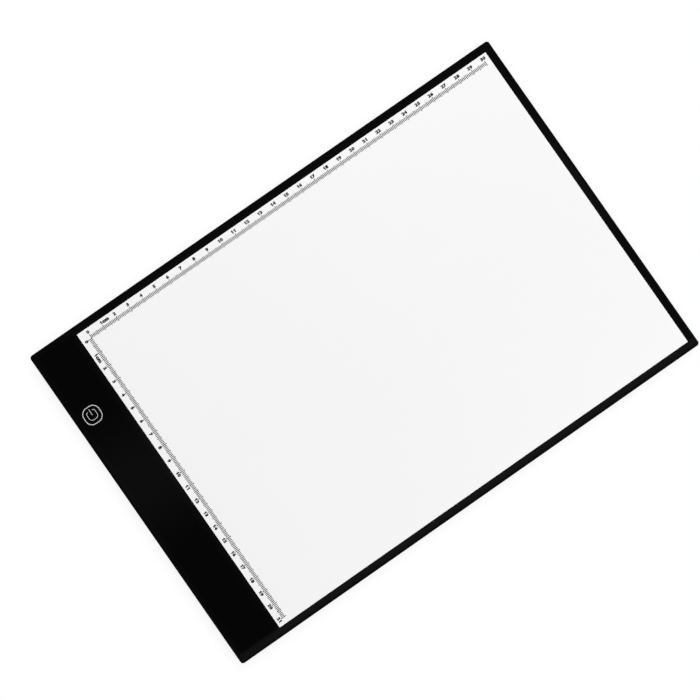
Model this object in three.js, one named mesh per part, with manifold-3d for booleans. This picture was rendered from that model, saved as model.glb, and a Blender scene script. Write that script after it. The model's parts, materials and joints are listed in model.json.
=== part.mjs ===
// A thin A4 light pad for tracing: a moulded tray, an edge-lit light guide and a milky drawing panel.
// Millimetres, +Z up. +X runs along the long side, away from the wide band.
// +Y points to the long edge that carries the long ruler.
// The origin is on the supporting surface, under the middle of the pad.
import * as THREE from "three";
import { mergeVertices } from "three/addons/utils/BufferGeometryUtils.js";
import Module from "manifold-3d";

const wasm = await Module();
wasm.setup();

// Outside of the pad
const padLength = 348;
const padWidth = 232;
const cornerRadius = 2;
const wideBand = 32.2;
const narrowBorder = 5.5;

// Moulded tray
const floorThickness = 1.2;
const wallThickness = 1.5;
const bottomEdgeRadius = 1;
const rimEdgeRadius = 0.3;
const ledgeWidth = 2;
const seatRibThickness = 0.8;
const longSidePockets = 14;
const shortSidePockets = 9;
const pocketWebThickness = 0.8;
const chamberRibThickness = 1;
const lowerChamberRibs = 5;
const upperChamberRibs = 1;

// Sheets between the tray and the panel, from the bottom up
const reflectorThickness = 0.2;
const guideThickness = 2;
const diffuserThickness = 0.25;
const sheetClearance = 0.05;
const sheetEdgeClearance = 0.3;
const guideOverlap = 1.9;

// Drawing panel
const panelThickness = 1.2;
const panelClearance = 0.15;
const printThickness = 0.1;
const tapeThickness = 0.15;
const tapeInset = 0.2;

// LED strip
const ledCount = 24;
const ledLength = 3;
const ledDepth = 0.8;
const ledHeight = 1.4;
const ledWindowLength = 2.2;
const ledWindowHeight = 0.9;
const ledWindowDepth = 0.15;
const ledBoardThickness = 0.8;
const ledBoardClearance = 0.15;
const ledTapeThickness = 0.15;
const ledGuideGap = 0.2;
const leadNotchWidth = 6;

// Printed key, as the places of the edge that it is measured from
const keyFromEnd = 11.9;
const keyFromTop = 52;

// Control board
const boardThickness = 0.8;
const boardEndClearance = 0.5;
const boardAboveKey = 10;
const boardBelowKey = 20;
const boardBossHeight = 0.4;
const boardBossRadius = 2.1;
const screwInset = 3;
const screwHoleRadius = 1.1;
const screwShankRadius = 0.8;
const screwHeadRadius = 1.8;
const screwHeadHeight = 0.8;
const screwShankLength = 1.9;
const screwHoleClearance = 0.12;
const screwSlotWidth = 0.5;
const screwSlotDepth = 0.35;
const foamSize = 8;
const chipSize = [1.6, 2.9, 1];
const transistorSize = [1.4, 2.9, 1];
const capacitorSize = [3.2, 1.6, 0.9];
const resistorSize = [1.25, 2, 0.5];
const chipLegLength = 0.55;
const chipLegWidth = 0.4;
const chipLegThickness = 0.2;

// Power socket
const socketWidth = 7.5;
const socketHeight = 2.4;
const socketDepth = 5.5;
const socketShell = 0.3;
const socketChamfer = 0.8;
const socketSetBack = 0.4;
const socketBelowKey = 12.5;
const socketTabLength = 1.2;
const socketTabWidth = 0.9;
const socketTabThickness = 0.3;
const socketClearance = 0.1;
const socketNotchClearance = 0.3;
const tongueWidth = 3.7;
const tongueThickness = 0.6;
const tongueReach = 3;
const tongueBaseDepth = 1.4;
const tongueClearance = 0.08;

// Leads from the control board to the LED board
const leadRadius = 0.45;
const leadSpacing = 1.5;
const leadStartInset = 2.5;
const leadBend = 2.4;
const leadBelowBoard = 5;
const leadEndClearance = 0.3;
const leadSides = 8;
const leadSteps = 20;

// Feet
const footRadius = 5;
const footInset = 16;
const footProud = 0.8;
const footRecess = 0.4;
const footClearance = 0.3;
const footEdgeRadius = 0.4;

// Facets and cutting
const leastCornerShare = 0.25;
const arcSteps = 6;
const roundSides = 28;
const overrun = 1;

// Heights, from the surface up
const trayBottom = footProud;
const floorTop = trayBottom + floorThickness;
const reflectorBottom = floorTop + sheetClearance;
const guideBottom = reflectorBottom + reflectorThickness + sheetClearance;
const diffuserBottom = guideBottom + guideThickness + sheetClearance;
const sheetStackTop = diffuserBottom + diffuserThickness + sheetClearance;
const socketRoomTop = floorTop + socketHeight + 2 * socketClearance;
const panelBottom = Math.max(sheetStackTop, socketRoomTop + tapeThickness);
const ledgeTop = panelBottom - tapeThickness;
const panelTop = panelBottom + panelThickness;
const rimTop = panelTop + printThickness;
const boardBottom = floorTop + boardBossHeight;
const boardTop = boardBottom + boardThickness;
const socketMiddle = (floorTop + ledgeTop) / 2;
const guideMiddle = guideBottom + guideThickness / 2;

// Places along X and Y
const endX = padLength / 2;
const sideY = padWidth / 2;
const ledgeInset = wallThickness + ledgeWidth;
const windowStartX = -endX + wideBand;
const windowEndX = endX - narrowBorder;
const windowSideY = sideY - narrowBorder;
const guideStartX = windowStartX - guideOverlap;
const guideEndX = endX - ledgeInset - sheetEdgeClearance;
const guideSideY = sideY - ledgeInset - sheetEdgeClearance;
const ledFrontX = guideStartX - ledGuideGap;
const ledBoardFrontX = ledFrontX - ledDepth;
const ledBoardBackX = ledBoardFrontX - ledBoardThickness;
const ledRibFrontX = ledBoardBackX - ledTapeThickness;
const ledRibBackX = ledRibFrontX - chamberRibThickness;
const chamberStartX = -endX + ledgeInset;
const chamberSideY = sideY - ledgeInset;
const keyX = -endX + keyFromEnd;
const keyY = sideY - keyFromTop;
const boardStartX = chamberStartX + boardEndClearance;
const boardEndX = ledRibBackX - boardEndClearance;
const boardHighY = keyY + boardAboveKey;
const boardLowY = keyY - boardBelowKey;
const socketY = keyY - socketBelowKey;
const leadNotchY = boardLowY - leadBelowBoard - leadSpacing / 2;
const chamberRibsLowY = leadNotchY - leadNotchWidth / 2;

const blackPlastic = material(0x141414, 0.6, 0);
const whitePanel = material(0xf2f2f2, 0.35, 0);
const blackInk = material(0x080808, 0.15, 0);
const whiteFilm = material(0xfafafa, 0.5, 0);
const clearGuide = material(0xe4f0f2, 0.08, 0);
const blackTape = material(0x1c1c1c, 0.7, 0);
const clearTape = material(0xd8d4c8, 0.6, 0);
const greenBoard = material(0x1d5b34, 0.45, 0);
const whiteBoard = material(0xe9e9e4, 0.5, 0);
const ledHousing = material(0xf4ecc8, 0.4, 0);
const darkChip = material(0x1a1a1c, 0.5, 0);
const tanCeramic = material(0x9a7b56, 0.5, 0);
const steel = material(0xb8babd, 0.3, 1);
const greyFoam = material(0x4b4d50, 0.9, 0);
const redWire = material(0xb01c1c, 0.5, 0);
const blackWire = material(0x101010, 0.5, 0);
const footRubber = material(0x0e0e0e, 0.9, 0);

function material(color, roughness, metalness) {
  return new THREE.MeshStandardMaterial({ color, roughness, metalness });
}

// A manifold solid from a closed three.js geometry.
function solid(geometry) {
  const bare = geometry.clone();
  bare.deleteAttribute("normal");
  bare.deleteAttribute("uv");
  const merged = mergeVertices(bare, 1e-5);
  const vertProperties = new Float32Array(merged.attributes.position.array);
  const triVerts = new Uint32Array(merged.index.array);
  return new wasm.Manifold(new wasm.Mesh({ numProp: 3, vertProperties, triVerts }));
}

// A three.js geometry from a manifold solid.
function geometryOf(made) {
  const { vertProperties, triVerts } = made.getMesh();
  const geometry = new THREE.BufferGeometry();
  geometry.setAttribute("position", new THREE.BufferAttribute(new Float32Array(vertProperties), 3));
  geometry.setIndex(new THREE.BufferAttribute(new Uint32Array(triVerts), 1));
  geometry.computeVertexNormals();
  return geometry;
}

function piece(name, made, finish) {
  const geometry = made.isBufferGeometry ? made : geometryOf(made);
  const mesh = new THREE.Mesh(geometry, finish);
  mesh.name = name;
  return mesh;
}

// The points of a rectangle with round corners, anticlockwise seen from above.
function roundedRectangle(lowX, lowY, highX, highY, radius) {
  const corners = [
    [highX - radius, highY - radius, 0],
    [lowX + radius, highY - radius, 1],
    [lowX + radius, lowY + radius, 2],
    [highX - radius, lowY + radius, 3],
  ];
  const points = [];
  for (const [x, y, quarter] of corners) {
    for (let step = 0; step <= arcSteps; step += 1) {
      const angle = ((quarter + step / arcSteps) * Math.PI) / 2;
      points.push(new THREE.Vector2(x + radius * Math.cos(angle), y + radius * Math.sin(angle)));
    }
  }
  return points;
}

// The pad's outline, drawn in from its edge.
function padOutline(inset) {
  const radius = Math.max(cornerRadius - inset, cornerRadius * leastCornerShare);
  return roundedRectangle(-endX + inset, -sideY + inset, endX - inset, sideY - inset, radius);
}

function rectangle(lowX, lowY, highX, highY) {
  return [
    new THREE.Vector2(highX, highY),
    new THREE.Vector2(lowX, highY),
    new THREE.Vector2(lowX, lowY),
    new THREE.Vector2(highX, lowY),
  ];
}

function circle(x, y, radius, sides = roundSides) {
  const points = [];
  for (let side = 0; side < sides; side += 1) {
    const angle = (side / sides) * 2 * Math.PI;
    points.push(new THREE.Vector2(x + radius * Math.cos(angle), y + radius * Math.sin(angle)));
  }
  return points;
}

// An upright prism of an outline, with its ends at exactly these heights.
function prism(outline, low, high, holes = []) {
  const shape = new THREE.Shape(outline);
  for (const hole of holes) shape.holes.push(new THREE.Path(hole));
  const geometry = new THREE.ExtrudeGeometry(shape, { depth: 1, bevelEnabled: false });
  const position = geometry.attributes.position;
  for (let i = 0; i < position.count; i += 1) position.setZ(i, position.getZ(i) > 0.5 ? high : low);
  return geometry;
}

function block(lowX, lowY, low, highX, highY, high) {
  return prism(rectangle(lowX, lowY, highX, highY), low, high);
}

function blockAt(x, y, length, width, low, high) {
  return block(x - length / 2, y - width / 2, low, x + length / 2, y + width / 2, high);
}

// A solid through rings of points, each ring a list of Vector3 and all of the same count.
function loft(rings) {
  const count = rings[0].length;
  const positions = rings.flat().flatMap((point) => [point.x, point.y, point.z]);
  const index = [];
  for (let ring = 0; ring + 1 < rings.length; ring += 1) {
    for (let i = 0; i < count; i += 1) {
      const a = ring * count + i;
      const b = ring * count + ((i + 1) % count);
      index.push(a, b, b + count, a, b + count, a + count);
    }
  }
  const top = (rings.length - 1) * count;
  for (let i = 1; i + 1 < count; i += 1) {
    index.push(0, i + 1, i);
    index.push(top, top + i, top + i + 1);
  }
  const geometry = new THREE.BufferGeometry();
  geometry.setAttribute("position", new THREE.Float32BufferAttribute(positions, 3));
  geometry.setIndex(index);
  return geometry;
}

// The tray's outside: a rounded block with a round bottom edge and a softened rim.
function trayOutside() {
  const ring = (inset, z) => {
    return padOutline(inset).map((point) => new THREE.Vector3(point.x, point.y, z));
  };
  const rings = [];
  for (let step = 0; step <= arcSteps; step += 1) {
    const angle = ((step / arcSteps) * Math.PI) / 2;
    const inset = bottomEdgeRadius * (1 - Math.sin(angle));
    rings.push(ring(inset, trayBottom + bottomEdgeRadius * (1 - Math.cos(angle))));
  }
  rings.push(ring(0, rimTop - rimEdgeRadius));
  for (const angle of [Math.PI / 4, Math.PI / 2]) {
    const inset = rimEdgeRadius * (1 - Math.cos(angle));
    rings.push(ring(inset, rimTop - rimEdgeRadius * (1 - Math.sin(angle))));
  }
  return solid(loft(rings));
}

// Moulding pockets between the outer wall and the seat rib, along all four sides.
function ledgePockets() {
  const pockets = [];
  const start = wallThickness;
  const end = ledgeInset - seatRibThickness;
  const longPitch = (padLength - 2 * ledgeInset) / longSidePockets;
  for (let i = 0; i < longSidePockets; i += 1) {
    const low = -endX + ledgeInset + i * longPitch + pocketWebThickness / 2;
    const high = low + longPitch - pocketWebThickness;
    pockets.push(block(low, sideY - end, floorTop, high, sideY - start, ledgeTop + overrun));
    pockets.push(block(low, -sideY + start, floorTop, high, -sideY + end, ledgeTop + overrun));
  }
  const shortPitch = (padWidth - 2 * ledgeInset) / shortSidePockets;
  for (let i = 0; i < shortSidePockets; i += 1) {
    const low = -sideY + ledgeInset + i * shortPitch + pocketWebThickness / 2;
    const high = low + shortPitch - pocketWebThickness;
    pockets.push(block(endX - end, low, floorTop, endX - start, high, ledgeTop + overrun));
    pockets.push(block(-endX + start, low, floorTop, -endX + end, high, ledgeTop + overrun));
  }
  return pockets;
}

// Ribs across the electronics chamber, which carry the panel over it.
function chamberRibs() {
  const ribs = [];
  const across = (y) => block(
    chamberStartX - seatRibThickness / 2,
    y - chamberRibThickness / 2,
    floorTop - floorThickness / 2,
    ledRibBackX + chamberRibThickness / 2,
    y + chamberRibThickness / 2,
    ledgeTop,
  );
  for (let i = 1; i <= lowerChamberRibs; i += 1) {
    ribs.push(across(chamberRibsLowY - (i * (chamberRibsLowY + chamberSideY)) / (lowerChamberRibs + 1)));
  }
  for (let i = 1; i <= upperChamberRibs; i += 1) {
    ribs.push(across(boardHighY + (i * (chamberSideY - boardHighY)) / (upperChamberRibs + 1)));
  }
  return ribs;
}

function screwPlaces() {
  return [
    [boardStartX + screwInset, boardHighY - screwInset],
    [boardEndX - screwInset, boardLowY + screwInset],
  ];
}

function footPlaces() {
  const x = endX - footInset;
  const y = sideY - footInset;
  return [[-x, y], [x, y], [x, -y], [-x, -y]];
}

// The socket's outline across the port, low corners cut, as [y, z] points grown by a clearance.
function socketOutline(growth) {
  const half = socketWidth / 2 + growth;
  const low = socketMiddle - socketHeight / 2 - growth;
  const high = socketMiddle + socketHeight / 2 + growth;
  return [
    new THREE.Vector2(socketY + half, high),
    new THREE.Vector2(socketY - half, high),
    new THREE.Vector2(socketY - half, low + socketChamfer),
    new THREE.Vector2(socketY - half + socketChamfer, low),
    new THREE.Vector2(socketY + half - socketChamfer, low),
    new THREE.Vector2(socketY + half, low + socketChamfer),
  ];
}

// A prism along X of an outline of [y, z] points.
function sideways(outline, lowX, highX) {
  const geometry = prism(outline, lowX, highX);
  const position = geometry.attributes.position;
  for (let i = 0; i < position.count; i += 1) {
    position.setXYZ(i, position.getZ(i), position.getX(i), position.getY(i));
  }
  return geometry;
}

function backCover() {
  let tray = trayOutside();
  const lightRoom = block(
    ledRibFrontX,
    -sideY + ledgeInset,
    floorTop,
    endX - ledgeInset,
    sideY - ledgeInset,
    rimTop + overrun,
  );
  const electronicsRoom = block(
    chamberStartX,
    -chamberSideY,
    floorTop,
    ledRibBackX,
    chamberSideY,
    rimTop + overrun,
  );
  const leadNotch = block(
    ledRibBackX - overrun,
    leadNotchY - leadNotchWidth / 2,
    floorTop,
    ledRibFrontX + overrun,
    leadNotchY + leadNotchWidth / 2,
    rimTop,
  );
  const rebate = prism(padOutline(wallThickness), ledgeTop, rimTop + overrun);
  const cuts = [rebate, lightRoom, electronicsRoom, ...ledgePockets(), leadNotch];
  for (const cut of cuts) tray = tray.subtract(solid(cut));
  for (const rib of chamberRibs()) tray = tray.add(solid(rib));
  for (const [x, y] of screwPlaces()) {
    const boss = prism(circle(x, y, boardBossRadius), floorTop - floorThickness / 2, boardBottom);
    tray = tray.add(solid(boss));
  }
  for (const [x, y] of screwPlaces()) {
    const hole = circle(x, y, screwShankRadius + screwHoleClearance);
    const bottom = boardTop - screwShankLength - screwHoleClearance;
    tray = tray.subtract(solid(prism(hole, bottom, boardTop)));
  }
  for (const [x, y] of footPlaces()) {
    const recess = circle(x, y, footRadius + footClearance);
    tray = tray.subtract(solid(prism(recess, trayBottom - overrun, trayBottom + footRecess)));
  }
  const port = sideways(socketOutline(socketClearance), -endX - overrun, chamberStartX + overrun);
  return tray.subtract(solid(port));
}

// The milky sheet. Its window stands as high as the print around it, so the drawing surface is flush.
function frontPanel() {
  const plate = solid(prism(padOutline(wallThickness + panelClearance), panelBottom, panelTop));
  const middle = (panelBottom + panelTop) / 2;
  return plate.add(solid(prism(windowOutline(), middle, rimTop)));
}

function borderPrint() {
  return prism(padOutline(wallThickness + panelClearance), panelTop, rimTop, [windowOutline()]);
}

function windowOutline() {
  return rectangle(windowStartX, -windowSideY, windowEndX, windowSideY);
}

function sheet(low, high) {
  return block(guideStartX, -guideSideY, low, guideEndX, guideSideY, high);
}

// The tape on the ledge, with its opening at the seat rib's inner face.
function panelTape() {
  const opening = rectangle(-endX + ledgeInset, -sideY + ledgeInset, endX - ledgeInset, sideY - ledgeInset);
  return prism(padOutline(wallThickness + tapeInset), ledgeTop, panelBottom, [opening]);
}

function ledCoverTape() {
  const side = chamberSideY - tapeInset;
  return block(ledRibBackX, -side, ledgeTop, ledFrontX, side, panelBottom);
}

// The tape between the rib and the LED board, one strip on each side of the leads' notch.
function ledTape(startY, endY) {
  const low = floorTop + ledBoardClearance;
  const high = ledgeTop - ledBoardClearance;
  return block(ledRibFrontX, startY, low, ledBoardBackX, endY, high);
}

function ledBoard() {
  const low = floorTop + ledBoardClearance;
  const high = ledgeTop - ledBoardClearance;
  return block(ledBoardBackX, -guideSideY, low, ledBoardFrontX, guideSideY, high);
}

// One LED, with its emitting window sunk into the face towards the light guide.
function led(y) {
  const low = guideMiddle - ledHeight / 2;
  const high = guideMiddle + ledHeight / 2;
  const body = block(ledBoardFrontX, y - ledLength / 2, low, ledFrontX, y + ledLength / 2, high);
  const windowLow = guideMiddle - ledWindowHeight / 2;
  const windowHigh = guideMiddle + ledWindowHeight / 2;
  const window = block(
    ledFrontX - ledWindowDepth,
    y - ledWindowLength / 2,
    windowLow,
    ledFrontX + overrun,
    y + ledWindowLength / 2,
    windowHigh,
  );
  return solid(body).subtract(solid(window));
}

function ledStrip() {
  const strip = new THREE.Group();
  const pitch = (2 * guideSideY) / ledCount;
  for (let i = 0; i < ledCount; i += 1) {
    const name = "led_" + String(i + 1).padStart(2, "0");
    strip.add(piece(name, led(guideSideY - (i + 1 / 2) * pitch), ledHousing));
  }
  return strip;
}

function controlBoard() {
  let board = solid(block(boardStartX, boardLowY, boardBottom, boardEndX, boardHighY, boardTop));
  const notchEnd = -endX + socketSetBack + socketDepth + socketNotchClearance;
  const notchHalf = socketWidth / 2 + socketNotchClearance;
  const notch = block(
    boardStartX - overrun,
    socketY - notchHalf,
    boardBottom - overrun,
    notchEnd,
    socketY + notchHalf,
    boardTop + overrun,
  );
  board = board.subtract(solid(notch));
  for (const [x, y] of screwPlaces()) {
    const hole = prism(circle(x, y, screwHoleRadius), boardBottom - overrun, boardTop + overrun);
    board = board.subtract(solid(hole));
  }
  return board;
}

function touchFoam() {
  return blockAt(keyX, keyY, foamSize, foamSize, boardTop, panelBottom);
}

// A moulded chip with legs at these shares of its half width along its two long sides.
function chip(x, y, [length, width, height], leftShares, rightShares) {
  let body = solid(blockAt(x, y, length, width, boardTop + chipLegThickness / 2, boardTop + height));
  const legs = (shares, side) => {
    for (const share of shares) {
      const legX = x + side * (length / 2 + chipLegLength / 2 - chipLegThickness);
      const leg = blockAt(
        legX,
        y + (share * width) / 2,
        chipLegLength + 2 * chipLegThickness,
        chipLegWidth,
        boardTop,
        boardTop + chipLegThickness,
      );
      body = body.add(solid(leg));
    }
  };
  legs(leftShares, -1);
  legs(rightShares, 1);
  return body;
}

// A chip part with a soldered cap at each end, which stands a little proud of its middle.
function cappedChip(x, y, [length, width, height], alongX) {
  const capShare = 0.2;
  const middleShare = 0.94;
  const middle = alongX
    ? blockAt(x, y, length, width * middleShare, boardTop, boardTop + height * middleShare)
    : blockAt(x, y, width * middleShare, length, boardTop, boardTop + height * middleShare);
  let made = solid(middle);
  for (const side of [-1, 1]) {
    const offset = (side * length * (1 - capShare)) / 2;
    const cap = alongX
      ? blockAt(x + offset, y, length * capShare, width, boardTop, boardTop + height)
      : blockAt(x, y + offset, width, length * capShare, boardTop, boardTop + height);
    made = made.add(solid(cap));
  }
  return made;
}

function boardPart(acrossShare, downShare) {
  return [
    boardStartX + acrossShare * (boardEndX - boardStartX),
    boardHighY - downShare * (boardHighY - boardLowY),
  ];
}

function boardParts() {
  const chipPlaceShares = [0.74, 0.2];
  const transistorPlaceShares = [0.72, 0.5];
  const capacitorPlaceShares = [0.42, 0.62];
  const chipResistorPlaceShares = [0.92, 0.2];
  const baseResistorPlaceShares = [0.92, 0.5];
  const threeLegShares = [-0.66, 0, 0.66];
  const twoLegShares = [-0.66, 0.66];
  const oneLegShares = [0];
  const parts = new THREE.Group();
  const touchChip = chip(...boardPart(...chipPlaceShares), chipSize, threeLegShares, threeLegShares);
  parts.add(piece("touch_chip", touchChip, darkChip));
  const transistor = chip(...boardPart(...transistorPlaceShares), transistorSize, twoLegShares, oneLegShares);
  parts.add(piece("led_transistor", transistor, darkChip));
  const capacitor = cappedChip(...boardPart(...capacitorPlaceShares), capacitorSize, true);
  parts.add(piece("filter_capacitor", capacitor, tanCeramic));
  const [width, length, height] = resistorSize;
  const chipResistor = cappedChip(...boardPart(...chipResistorPlaceShares), [length, width, height], false);
  parts.add(piece("chip_resistor", chipResistor, darkChip));
  const baseResistor = cappedChip(...boardPart(...baseResistorPlaceShares), [length, width, height], false);
  parts.add(piece("base_resistor", baseResistor, darkChip));
  return parts;
}

// A pan-head screw with a cross slot. Its thread is left plain.
function boardScrew([x, y]) {
  const shankTop = boardTop + screwHeadHeight / 2;
  const shank = prism(circle(x, y, screwShankRadius), boardTop - screwShankLength, shankTop);
  const profileShares = [[0, 0], [1, 0], [1, 0.45], [0.86, 0.78], [0.55, 1], [0, 1]];
  const profile = profileShares.map(
    ([across, up]) => new THREE.Vector2(across * screwHeadRadius, up * screwHeadHeight),
  );
  const head = new THREE.LatheGeometry(profile, roundSides);
  head.rotateX(Math.PI / 2).translate(x, y, boardTop);
  let screw = solid(head).add(solid(shank));
  const slotLow = boardTop + screwHeadHeight - screwSlotDepth;
  for (const [length, width] of [[screwHeadRadius, screwSlotWidth], [screwSlotWidth, screwHeadRadius]]) {
    const slot = blockAt(x, y, length, width, slotLow, boardTop + screwHeadHeight + overrun);
    screw = screw.subtract(solid(slot));
  }
  return screw;
}

// The socket's sheet-metal shell, open towards the pad's end, with two tabs that sit on the board.
function usbSocket() {
  const start = -endX + socketSetBack;
  const end = start + socketDepth;
  let shell = solid(sideways(socketOutline(0), start, end));
  const hollow = sideways(socketOutline(-socketShell), start - overrun, end - socketShell);
  shell = shell.subtract(solid(hollow));
  const tabEnd = end - socketTabWidth / 2;
  const reach = socketWidth / 2 + socketNotchClearance + socketTabLength;
  for (const side of [-1, 1]) {
    const inner = socketY + side * (socketWidth / 2 - socketShell / 2);
    const outer = socketY + side * reach;
    const tab = block(
      tabEnd - socketTabWidth,
      Math.min(inner, outer),
      boardTop,
      tabEnd,
      Math.max(inner, outer),
      boardTop + socketTabThickness,
    );
    shell = shell.add(solid(tab));
  }
  return shell;
}

function usbTongue() {
  const back = -endX + socketSetBack + socketDepth - socketShell - tongueClearance;
  const front = back - tongueBaseDepth;
  const base = sideways(socketOutline(-socketShell - tongueClearance), front, back);
  const tongue = block(
    front - tongueReach,
    socketY - tongueWidth / 2,
    socketMiddle,
    front + tongueBaseDepth / 2,
    socketY + tongueWidth / 2,
    socketMiddle + tongueThickness,
  );
  return solid(base).add(solid(tongue));
}

// One insulated wire from a pad near the board's low end, round a bend and through the rib's notch.
function lead(order) {
  const x = boardEndX - 2 * screwInset - leadStartInset - order * leadSpacing;
  const y = boardLowY - leadBelowBoard - order * leadSpacing;
  const z = boardTop + leadRadius;
  const end = ledBoardBackX - leadEndClearance;
  const bend = leadBend;
  const path = new THREE.CatmullRomCurve3(
    [
      new THREE.Vector3(x, boardLowY + leadStartInset, z),
      new THREE.Vector3(x, boardLowY, z),
      new THREE.Vector3(x, y + bend, z),
      new THREE.Vector3(x + bend * (1 - Math.SQRT1_2), y + bend * (1 - Math.SQRT1_2), z),
      new THREE.Vector3(x + bend, y, z),
      new THREE.Vector3((x + bend + end) / 2, y, z),
      new THREE.Vector3(end, y, z),
    ],
    false,
    "centripetal",
  );
  const section = new THREE.Shape(circle(0, 0, leadRadius, leadSides));
  const settings = { steps: leadSteps, extrudePath: path, bevelEnabled: false };
  return solid(new THREE.ExtrudeGeometry(section, settings));
}

// A moulded rubber foot, glued in its recess, with a rounded lower edge.
function foot([x, y]) {
  const height = footProud + footRecess;
  const profile = [new THREE.Vector2(0, 0)];
  for (let step = 0; step <= arcSteps; step += 1) {
    const angle = ((step / arcSteps) * Math.PI) / 2;
    const radius = footRadius - footEdgeRadius * (1 - Math.sin(angle));
    profile.push(new THREE.Vector2(radius, footEdgeRadius * (1 - Math.cos(angle))));
  }
  profile.push(new THREE.Vector2(footRadius, height), new THREE.Vector2(0, height));
  const made = new THREE.LatheGeometry(profile, roundSides);
  made.rotateX(Math.PI / 2).translate(x, y, 0);
  return solid(made);
}

function casing() {
  const group = new THREE.Group();
  group.add(piece("back_cover", backCover(), blackPlastic));
  group.add(piece("panel_tape", panelTape(), clearTape));
  group.add(piece("front_panel", frontPanel(), whitePanel));
  group.add(piece("border_print", borderPrint(), blackInk));
  footPlaces().forEach((place, i) => group.add(piece("foot_" + (i + 1), foot(place), footRubber)));
  return group;
}

function lightUnit() {
  const group = new THREE.Group();
  const reflector = sheet(reflectorBottom, reflectorBottom + reflectorThickness);
  group.add(piece("reflector_sheet", reflector, whiteFilm));
  group.add(piece("light_guide_plate", sheet(guideBottom, guideBottom + guideThickness), clearGuide));
  const diffuser = sheet(diffuserBottom, diffuserBottom + diffuserThickness);
  group.add(piece("diffuser_sheet", diffuser, whiteFilm));
  const notchHalf = leadNotchWidth / 2;
  group.add(piece("led_tape_lower", ledTape(-guideSideY, leadNotchY - notchHalf), clearTape));
  group.add(piece("led_tape_upper", ledTape(leadNotchY + notchHalf, guideSideY), clearTape));
  group.add(piece("led_board", ledBoard(), whiteBoard));
  group.add(ledStrip());
  group.add(piece("led_cover_tape", ledCoverTape(), blackTape));
  return group;
}

function electronics() {
  const group = new THREE.Group();
  group.add(piece("control_board", controlBoard(), greenBoard));
  group.add(boardParts());
  group.add(piece("touch_foam", touchFoam(), greyFoam));
  screwPlaces().forEach((place, i) => group.add(piece("board_screw_" + (i + 1), boardScrew(place), steel)));
  group.add(piece("usb_socket", usbSocket(), steel));
  group.add(piece("usb_tongue", usbTongue(), darkChip));
  group.add(piece("lead_red", lead(0), redWire));
  group.add(piece("lead_black", lead(1), blackWire));
  return group;
}

const pad = new THREE.Group();
pad.add(casing(), lightUnit(), electronics());

export default pad;
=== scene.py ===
"""Dresses the frame of a thin tracing light pad with its print, fine parts, finishes and studio.

Everything is in metres, in the frame's own axes: +X runs along the long side away from the wide
band, +Y points to the long edge that carries the long ruler, and the pad lies on z = 0.
"""

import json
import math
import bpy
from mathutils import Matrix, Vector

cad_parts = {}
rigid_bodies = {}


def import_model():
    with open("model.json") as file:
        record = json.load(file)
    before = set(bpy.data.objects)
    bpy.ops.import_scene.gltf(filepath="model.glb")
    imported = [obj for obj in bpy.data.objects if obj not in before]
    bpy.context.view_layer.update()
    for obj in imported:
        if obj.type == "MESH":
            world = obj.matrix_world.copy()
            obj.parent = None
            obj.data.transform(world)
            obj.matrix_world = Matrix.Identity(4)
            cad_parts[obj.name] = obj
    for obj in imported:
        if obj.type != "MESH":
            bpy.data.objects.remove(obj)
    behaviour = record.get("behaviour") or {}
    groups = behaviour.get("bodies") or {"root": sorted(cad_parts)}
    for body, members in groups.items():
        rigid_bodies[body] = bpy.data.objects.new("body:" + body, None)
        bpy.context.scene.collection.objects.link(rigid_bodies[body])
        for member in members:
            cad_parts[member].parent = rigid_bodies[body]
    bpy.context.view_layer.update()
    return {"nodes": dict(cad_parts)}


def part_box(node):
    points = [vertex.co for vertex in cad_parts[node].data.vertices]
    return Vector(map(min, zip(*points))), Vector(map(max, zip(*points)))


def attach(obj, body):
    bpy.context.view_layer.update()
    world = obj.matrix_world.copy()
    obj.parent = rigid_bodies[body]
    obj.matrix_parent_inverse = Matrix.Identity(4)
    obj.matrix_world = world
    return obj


bl_info = {
    "name": "Tracing Light Pad",
    "version": (1, 0, 0),
    "blender": (4, 5, 0),
    "location": "View3D > Sidebar > Light Pad",
    "description": "Prints, details, finishes and lights a thin tracing light pad",
    "category": "Object",
}

import bmesh
import bpy
from bpy.props import FloatProperty, FloatVectorProperty, IntProperty, PointerProperty
from mathutils import Matrix, Vector

# A new Blender file holds a cube, a lamp and a camera, and none of them belongs to the pad.
for leftover in list(bpy.data.objects):
    bpy.data.objects.remove(leftover)

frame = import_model()

MM = 0.001
BODY = "root"
COVER_LOW, COVER_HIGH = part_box("back_cover")
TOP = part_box("front_panel")[1].z
WIDE_BAND = 32.2 * MM
NARROW_BORDER = 5.5 * MM
LED_NODES = sorted(name for name in frame["nodes"] if name.startswith("led_") and name[4:].isdigit())
LEAD_NODES = ("lead_red", "lead_black")


def length(name, description, millimetres):
    """A length that is written in millimetres and held in metres."""
    return FloatProperty(
        name=name, description=description, default=millimetres * MM, unit="LENGTH", precision=5
    )


def amount(name, description, default, least=0.0):
    """A plain number that can't go below its least value."""
    return FloatProperty(name=name, description=description, default=default, min=least)


def whole(name, description, default):
    """A whole number of one or more."""
    return IntProperty(name=name, description=description, default=default, min=1)


def tint(name, description, *parts):
    """A linear colour, or a grey if it has only one part."""
    color = parts if len(parts) == 3 else parts * 3
    return FloatVectorProperty(
        name=name, description=description, default=color, size=3, min=0.0, max=1.0, subtype="COLOR"
    )


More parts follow.
